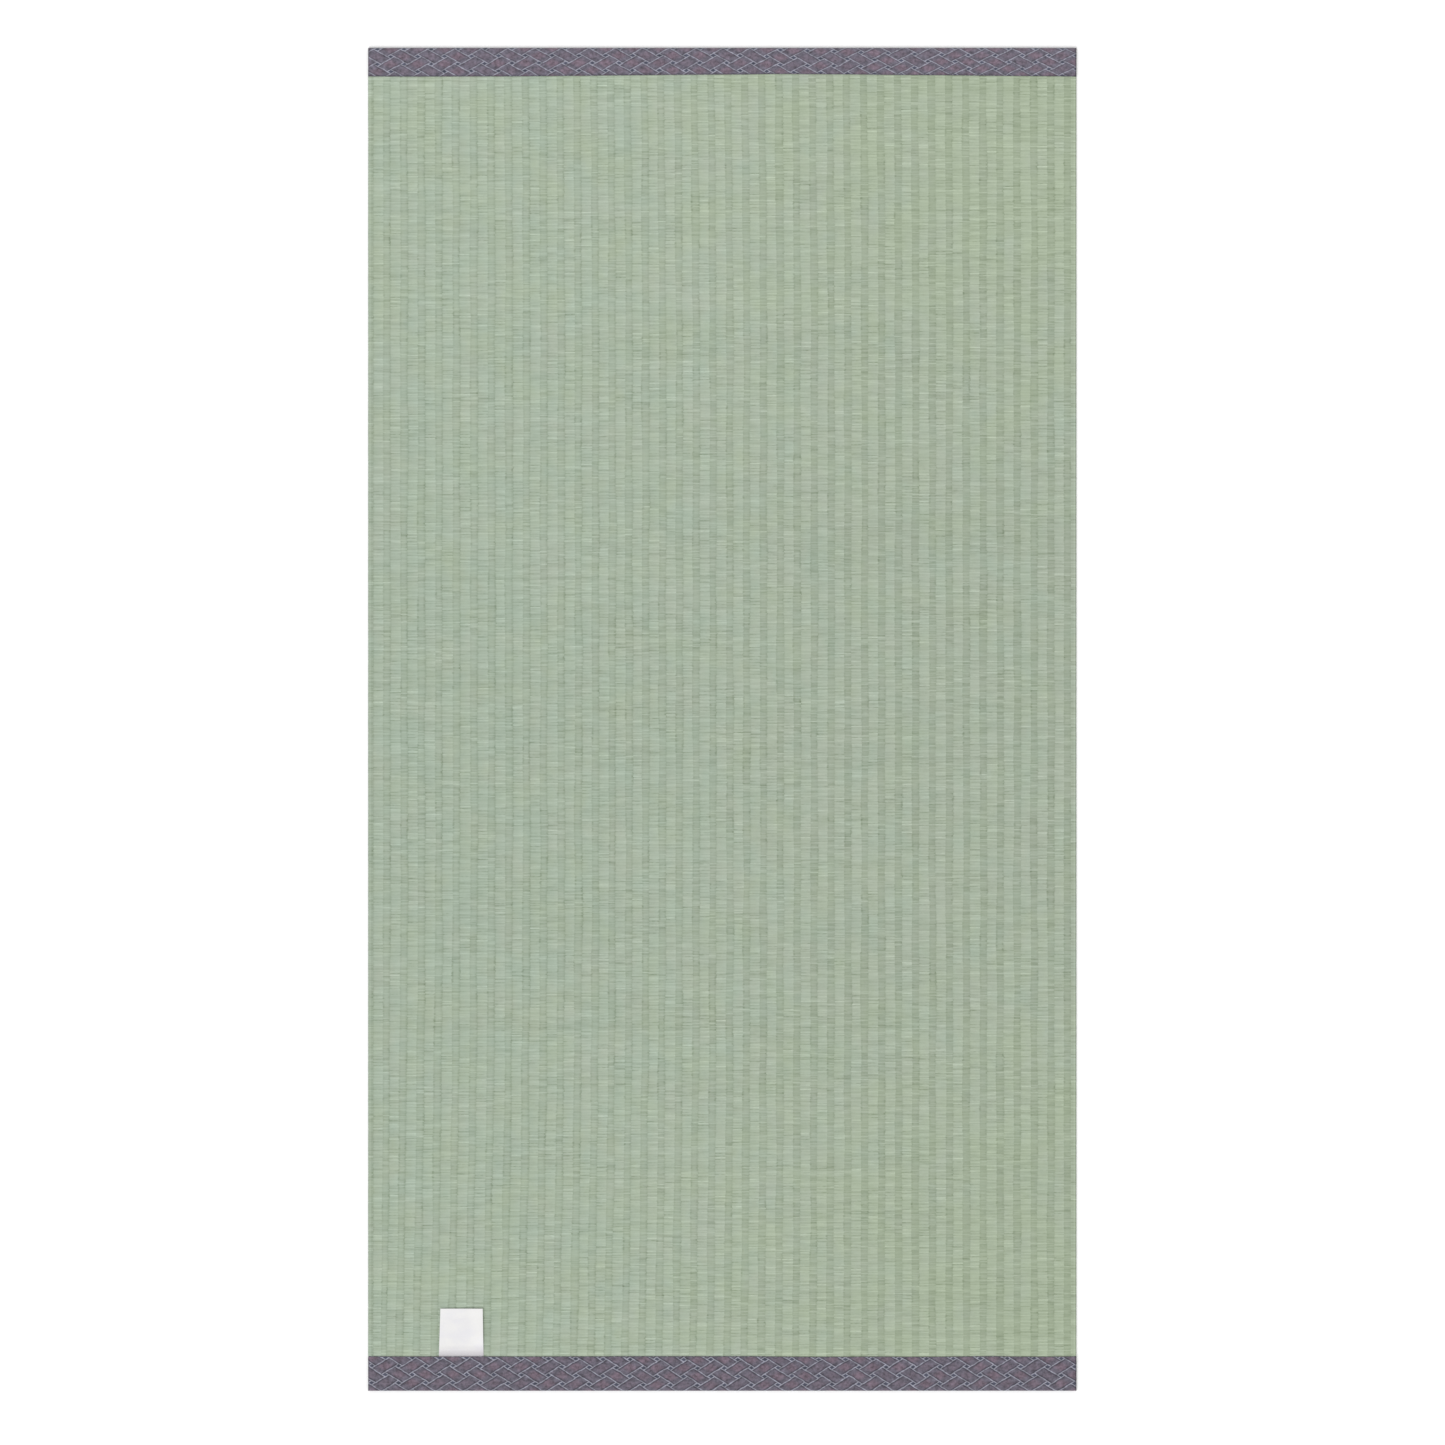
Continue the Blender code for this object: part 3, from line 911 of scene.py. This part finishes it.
def press_down(points, on_top, held):
    """Lowers the top of the weave towards the seams, and where the tag leads down between them."""
    lip_floor = BORDER_HEIGHT - INSIDE_CLOTH
    over = np.clip(points[:, :, 2] - lip_floor, 0.0, None)
    points[:, :, 2] -= np.where(on_top, over * (1 - held), 0.0)
    left, right = tag_sides(points[:, :, 1])
    under_tag = on_top & (points[:, :, 0] > left - TAG_CLEARANCE)
    under_tag &= points[:, :, 0] < right + TAG_CLEARANCE
    under_tag &= points[:, :, 1] < FOOT_SEAM + TAG_LEVEL_PAST_SEAM + TAG_RAMP
    limit = tag_floor(points[:, :, 1]) - GAP
    points[:, :, 2] = np.where(under_tag, np.minimum(points[:, :, 2], limit), points[:, :, 2])


def facing_points(dice):
    """Every point of the woven facing between the seams, (rows, around, 3), and its weave map."""
    x, z, column, bulge, inward_x, inward_z = facing_section()
    shares = rush_shares(dice)
    rows = len(shares)
    number = np.floor(column).astype(int)
    row_number = np.arange(rows)[:, None]
    rib = (number + 1) // 2
    relief = np.where(number % 2, RUSH_RELIEF, CROSSING_RELIEF)
    valley = (row_number + rib[None, :]) % 2 * relief[None, :]

    # Each place where a rush shows lies a little higher or lower, alone and with its neighbours
    columns = number.max() + 1
    lift = RUSH_LIFT * dice.standard_normal((rows, columns))
    lift += BUNDLE_LIFT * smoothed(dice.standard_normal((rows, columns)), BUNDLE_ROWS)
    sink = (valley - lift[:, number]) * bulge[None, :]
    on_top = (inward_z < 0)[None, :] & (inward_x == 0)[None, :]
    sink = np.where(on_top, sink, np.clip(sink, 0.0, None))

    points = np.empty((rows, len(x), 3))
    foot_line = FOOT_SEAM + GAP
    head_line = head_seam(x)[None, :] - GAP
    points[:, :, 0] = x[None, :] + inward_x[None, :] * sink
    points[:, :, 1] = foot_line + shares[:, None] * (head_line - foot_line)
    points[:, :, 2] = z[None, :] + inward_z[None, :] * sink
    held = ease(np.minimum(points[:, :, 1] - foot_line, head_line - points[:, :, 1]) / PRESS_LENGTH)

    # The rushes wander along the mat, and the warps sway and lean across it
    wander = smoothed(dice.standard_normal((rows, WANDER_PLACES)), WANDER_ROWS)
    wander = smoothed(wander.T, WANDER_BLUR).T
    places = np.linspace(-SIDE, SIDE, WANDER_PLACES)
    shift = np.array([np.interp(x, places, line) for line in wander])
    points[:, :, 1] += RUSH_WANDER * held * shift
    sway = smoothed(dice.standard_normal((rows, columns + 1)), SWAY_ROWS)
    aside = np.array([np.interp(column, np.arange(columns + 1), line) for line in sway])
    aside = WARP_SWAY * aside * ease((SIDE - np.abs(points[:, :, 0])) / LEAN_MARGIN)
    aside = aside + leaned(points[:, :, 0], points[:, :, 1])
    points[:, :, 0] += np.where(on_top, aside, 0.0)
    press_down(points, on_top | (inward_z < 0)[None, :], held)

    weave = np.empty((rows, len(x) + 1, 2))
    weave[:, :-1, 0] = column[None, :]
    weave[:, -1, 0] = column[-1]
    weave[:, :, 1] = row_number / 2
    return points, weave


def bake_map(points):
    """A flat map of a length of the facing: its top over most of the square, its underside beside it."""
    rows, around = points.shape[:2]
    ring = points[rows // 2][:, [0, 2]]
    run = np.linalg.norm(np.roll(ring, -1, axis=0) - ring, axis=1)
    below = ring[:, 1] < FACING_HEIGHT / 3
    below_weight = (1 - FACING_TOP_SHARE) / run[below].sum()
    top_weight = FACING_TOP_SHARE / run[~below].sum()
    across = np.concatenate([[0.0], np.cumsum(run * np.where(below, below_weight, top_weight))])
    flat = np.empty((rows, around + 1, 2))
    flat[:, :, 0] = FACING_SIDE_MARGIN + (1 - 2 * FACING_SIDE_MARGIN) * across[None, :]
    flat[:, :, 1] = np.linspace(FACING_END_MARGIN, 1 - FACING_END_MARGIN, rows)[:, None]
    return flat


def pressed_ring(ring, y):
    """A ring of the facing squeezed thin inside a border, at y."""
    squeezed = ring.copy()
    squeezed[:, 0] = np.clip(ring[:, 0], INSIDE_CLOTH - SIDE, SIDE - INSIDE_CLOTH)
    squeezed[:, 1] = y
    squeezed[:, 2] = np.clip(ring[:, 2], INSIDE_CLOTH, BORDER_HEIGHT - INSIDE_CLOTH)
    return squeezed


def make_facing(material):
    """The rush sheet in lengths that butt between two rushes, and are one sheet to the eye."""
    points, weave = facing_points(np.random.default_rng(SEED))
    foot_lines = (FOOT_END + INSIDE_CLOTH, FOOT_SEAM + GAP / 3)
    head_lines = (head_seam(points[-1][:, 0]) - GAP / 3, HEAD_END - INSIDE_CLOTH)
    foot_rings = [pressed_ring(points[0], line) for line in foot_lines]
    head_rings = [pressed_ring(points[-1], line) for line in head_lines]
    points = np.concatenate([foot_rings, points, head_rings])
    weave = np.concatenate([weave[:1], weave[:1], weave, weave[-1:], weave[-1:]])
    normals = grid_normals(points)

    # The first and the last length also hold the two rings that lie inside a border
    ends = [len(foot_rings) + number * 2 * RUSHES // LENGTHS for number in range(LENGTHS + 1)]
    ends[0] = 0
    ends[-1] = len(points) - 1
    for number, (first, last) in enumerate(zip(ends, ends[1:]), 1):
        span = slice(first, last + 1)
        maps = {"OFBake": bake_map(points[span]), "weave": weave[span]}
        piece = grid_piece(f"rush_facing_{number}", points[span], maps, True, normals[span])
        dress(piece, "rush_facing", material)


def border_section(depth):
    """A border's cloth cut across, once round, from its top lip over the end to its bottom lip and back.

    Gives for each place how far past the lip it is, its height, and how far through the cloth.
    """
    lip = CLOTH_THICKNESS / 2
    half = BORDER_HEIGHT / 2
    flat_end = depth - FOLD_ROUNDING
    upper = [(place, BORDER_HEIGHT) for place in np.linspace(lip, flat_end, FLAT_STEPS)]
    for step in range(1, FOLD_STEPS + 1):
        turn = math.pi / 2 * step / FOLD_STEPS
        height = BORDER_HEIGHT - FOLD_ROUNDING * (1 - math.cos(turn))
        upper.append((flat_end + FOLD_ROUNDING * math.sin(turn), height))
    outer = upper + [(place, BORDER_HEIGHT - height) for place, height in upper[::-1]]
    inner = []
    for place, height in outer[::-1]:
        inner_height = half + (height - half) * (half - CLOTH_THICKNESS) / half
        inner.append((min(place, depth - CLOTH_THICKNESS), inner_height))
    low_rim = []
    for step in range(1, LIP_STEPS + 1):
        turn = math.pi * step / (LIP_STEPS + 1)
        low_rim.append((lip * (1 - math.sin(turn)), lip * (1 - math.cos(turn))))
    high_rim = [(place, BORDER_HEIGHT - height) for place, height in low_rim[::-1]]
    rim_shares = np.arange(1, LIP_STEPS + 1) / (LIP_STEPS + 1)
    through = np.concatenate([np.zeros(len(outer)), rim_shares, np.ones(len(inner)), rim_shares[::-1]])
    past_lip, height = np.array(outer + low_rim + inner + high_rim).T
    return past_lip, height, through


def border_stations():
    """Places along a border, closer where its cloth turns in, how far in, and its height as a share."""
    start = SIDE - TURN_IN
    turns = TURN_IN * np.sin(np.linspace(0.0, math.pi / 2, TURN_IN_STEPS + 1)[1:])
    middle = np.linspace(-start, start, BORDER_STATIONS)
    stations = np.concatenate([-start - turns[::-1], middle, start + turns])
    past = np.clip((np.abs(stations) - start) / TURN_IN, 0.0, 1.0)
    return stations, past, (1 - past ** TURN_IN_POWER) ** (1 / TURN_IN_POWER)


def fold_map(run, stations):
    """A flat map of a long strip, cut in folds that lie one above the other in the square."""
    place = np.linspace(0.0, BORDER_FOLDS * BEFORE_LAST_FOLD, stations)
    fold = np.floor(place)
    across = BORDER_SIDE_MARGIN + (1 - 2 * BORDER_SIDE_MARGIN) * (run / run[-1])[None, :]
    flat = np.empty((stations, len(run), 2))
    flat[:, :, 0] = (BORDER_END_MARGIN + (1 - 2 * BORDER_END_MARGIN) * (place - fold))[:, None]
    flat[:, :, 1] = (fold[:, None] + across) / BORDER_FOLDS
    return flat


def make_border(name, node, end, seam, cloth, material, dice, under):
    """A cloth pocket over one end of the mat. seam(x) is where its lip lies, and under, what it rests on,
    is not used.

    cloth is its pattern: a hole's place, the pitch along and across, how it has slipped both ways, and
    where it is squeezed.
    """
    hole, pitch, row_pitch, slips, sags, squeezes = cloth
    outward = math.copysign(1.0, end)
    depth = abs(end - float(seam(HEAD_BOW_MIDDLE + HEAD_BOW_HALF / 2)))
    past_lip, height, through = border_section(depth)
    stations, past, squeeze = border_stations()
    half = BORDER_HEIGHT / 2
    stretch = np.abs(end - seam(stations)) / depth
    inset = through[None, :] * CLOTH_THICKNESS * past[:, None]
    x = stations[:, None] - np.sign(stations)[:, None] * inset
    from_lip = past_lip[None, :] * stretch[:, None]

    # The ribs under the cloth show through faintly, the cloth waves, and its lip wanders
    on_top = np.clip((height[None, :] - half) / half, 0.0, 1.0)
    inward = np.clip(from_lip / depth, 0.0, 1.0)
    waves = smoothed(dice.standard_normal((len(stations), 1)), WAVE_STATIONS)
    wander = smoothed(dice.standard_normal((len(stations), 1)), LIP_WANDER_STATIONS)
    swell = -RIB_SHOW * np.cos(2 * np.pi * (x - FIRST_LOW_COLUMN) / RIB_PITCH) * (1 - inward)
    swell = (swell + CLOTH_WAVE * waves * np.sin(np.pi * inward)) * on_top
    near_lip = np.clip(1 - from_lip / LIP_WANDER_DEPTH, 0.0, 1.0)
    lip_shift = LIP_WANDER * np.maximum(wander, 0.0) * near_lip
    points = np.empty((len(stations), len(height), 3))
    points[:, :, 0] = x
    points[:, :, 1] = seam(stations)[:, None] + outward * (from_lip + lip_shift)
    points[:, :, 2] = half + (height[None, :] - half + swell) * squeeze[:, None]

    # The pattern follows the cloth over the end and underneath
    section = np.stack([past_lip, height], axis=1)
    steps = np.linalg.norm(np.roll(section, -1, axis=0) - section, axis=1)
    run = np.concatenate([[0.0], np.cumsum(steps)])
    across = seam(stations)[:, None] + outward * (past_lip[0] + run[None, :] * stretch[:, None])
    lattice = np.empty((len(stations), len(run), 2))
    lattice[:, :, 0] = (stations - slipped(stations, slips) - hole[0])[:, None] / pitch
    rows = 2 * row_pitch * (1 - slipped(stations, squeezes))
    lattice[:, :, 1] = (across - (hole[1] + slipped(stations, sags))[:, None]) / rows[:, None]

    # The edge map, in millimetres: how far past the lip, and how far in from the side
    edge = np.empty_like(lattice)
    edge[:, :, 0] = 1000 * np.append(past_lip, past_lip[0])[None, :]
    edge[:, :, 1] = 1000 * (SIDE - np.abs(stations))[:, None]
    maps = {"OFBake": fold_map(run, len(stations)), "lattice": lattice, "edge": edge}
    piece = grid_piece(name, points, maps, capped=False)
    dress(piece, node, material)


def make_borders(material):
    """Both borders, each with its own size of pattern."""
    dice = np.random.default_rng(SEED + 1)
    foot_cloth = (FOOT_HOLE, FOOT_PITCH, FOOT_ROW_PITCH, FOOT_SLIPS, FOOT_SAGS, ())
    head_cloth = (HEAD_HOLE, HEAD_PITCH, HEAD_ROW_PITCH, (), HEAD_SAGS, (HEAD_SQUEEZE,))
    foot = ("foot_border_cloth", "foot_border", FOOT_END, foot_seam, foot_cloth)
    head = ("head_border_cloth", "head_border", HEAD_END, head_seam, head_cloth)
    make_border(*foot, material, dice, "rush_facing_1")
    make_border(*head, material, dice, f"rush_facing_{LENGTHS}")


def make_tag(material):
    """The blank tag: a thin satin strip, caught at its lower end, lying over the ribs, its end loose."""
    y = np.concatenate([[TAG_LOW[1]], np.linspace(FOOT_SEAM, FOOT_SEAM + TAG_LENGTH, TAG_ROWS)])
    across = np.linspace(0.0, 1.0, TAG_COLUMNS)
    left, right = tag_sides(y)
    x = left[:, None] + (right - left)[:, None] * across[None, :]
    along = np.repeat(y[:, None], TAG_COLUMNS, axis=1)
    from_edge = np.minimum(across, 1 - across)
    free = ease((y - FOOT_SEAM) / TAG_LENGTH)[:, None]
    ribs = TAG_RIB_SHOW * (1 - np.cos(2 * np.pi * (x - FIRST_LOW_COLUMN) / RIB_PITCH)) * free
    loose = ease((y - FOOT_SEAM - TAG_RAMP) / TAG_LOOSE_RUN)[:, None]
    curl = TAG_RIGHT_LIFT * loose * ease((across - TAG_RIGHT_START) / (1 - TAG_RIGHT_START))[None, :]
    curl = curl + TAG_END_LIFT * ease(1 - (FOOT_SEAM + TAG_LENGTH - y) / TAG_END_RUN)[:, None]
    floor = tag_floor(y)[:, None] + ribs + curl
    rounding = TAG_THICKNESS * TAG_EDGE_ROUNDING * (1 - ease(from_edge / TAG_EDGE_SHARE))[None, :]
    top = np.stack([x, along, floor + TAG_THICKNESS - rounding], axis=-1)
    bottom = np.stack([x, along, floor + rounding / 2], axis=-1)
    points = np.concatenate([top, bottom[:, ::-1]], axis=1)
    flat = np.empty((len(y), points.shape[1] + 1, 2))
    flat[:, :, 0] = np.linspace(TAG_SIDE_MARGIN, 1 - TAG_SIDE_MARGIN, points.shape[1] + 1)[None, :]
    flat[:, :, 1] = np.linspace(TAG_END_MARGIN, 1 - TAG_END_MARGIN, len(y))[:, None]
    tag = grid_piece("satin_tag", points, {"OFBake": flat}, capped=True)
    tag.data.set_sharp_from_angle(angle=TAG_SHARP_ANGLE)
    dress(tag, "blank_tag", material)


def make_floor():
    """A wide pale floor under the mat."""
    shape = bmesh.new()
    bmesh.ops.create_grid(shape, x_segments=1, y_segments=1, size=FLOOR_SIZE / 2)
    mesh = bpy.data.meshes.new("floor")
    shape.to_mesh(mesh)
    shape.free()
    floor = bpy.data.objects.new("floor", mesh)
    bpy.context.collection.objects.link(floor)
    graph = Graph("pale_floor")
    colour = graph.blend(graph.noise(*FLOOR_CLOUDS), FLOOR_WHITE, FLOOR_BRIGHT)
    mesh.materials.append(graph.finish(colour, FLOOR_ROUGHNESS, None, {"Specular IOR Level": 0.1}))


def make_lights():
    """A soft white room, and a wide soft window low on the left."""
    scene = bpy.context.scene
    world = bpy.data.worlds.new("soft_room")
    world.use_nodes = True
    backdrop = world.node_tree.nodes["Background"]
    backdrop.inputs["Color"].default_value = (1.0, 1.0, 1.0, 1.0)
    backdrop.inputs["Strength"].default_value = ROOM_LIGHT
    scene.world = world
    lamp = bpy.data.lights.new("window_light", "SUN")
    lamp.angle = WINDOW_SIZE
    lamp.energy = WINDOW_LIGHT
    window = bpy.data.objects.new("window_light", lamp)
    window.location = WINDOW_PLACE
    window.rotation_euler = (-window.location).to_track_quat("-Z", "Y").to_euler()
    bpy.context.collection.objects.link(window)
    scene.view_settings.view_transform = "Standard"
    scene.view_settings.look = "None"


def make_camera():
    """A long lens straight above the mat."""
    lens = bpy.data.cameras.new("camera")
    lens.lens = lens.sensor_width * CAMERA_HEIGHT / PICTURE_WIDTH
    lens.clip_end = CAMERA_REACH
    camera = bpy.data.objects.new("camera", lens)
    camera.location = (AIM[0], AIM[1], CAMERA_HEIGHT)
    bpy.context.collection.objects.link(camera)
    bpy.context.scene.camera = camera


make_camera()
make_floor()
make_lights()
make_facing(rush_material())
make_borders(border_material())
make_tag(satin_material())
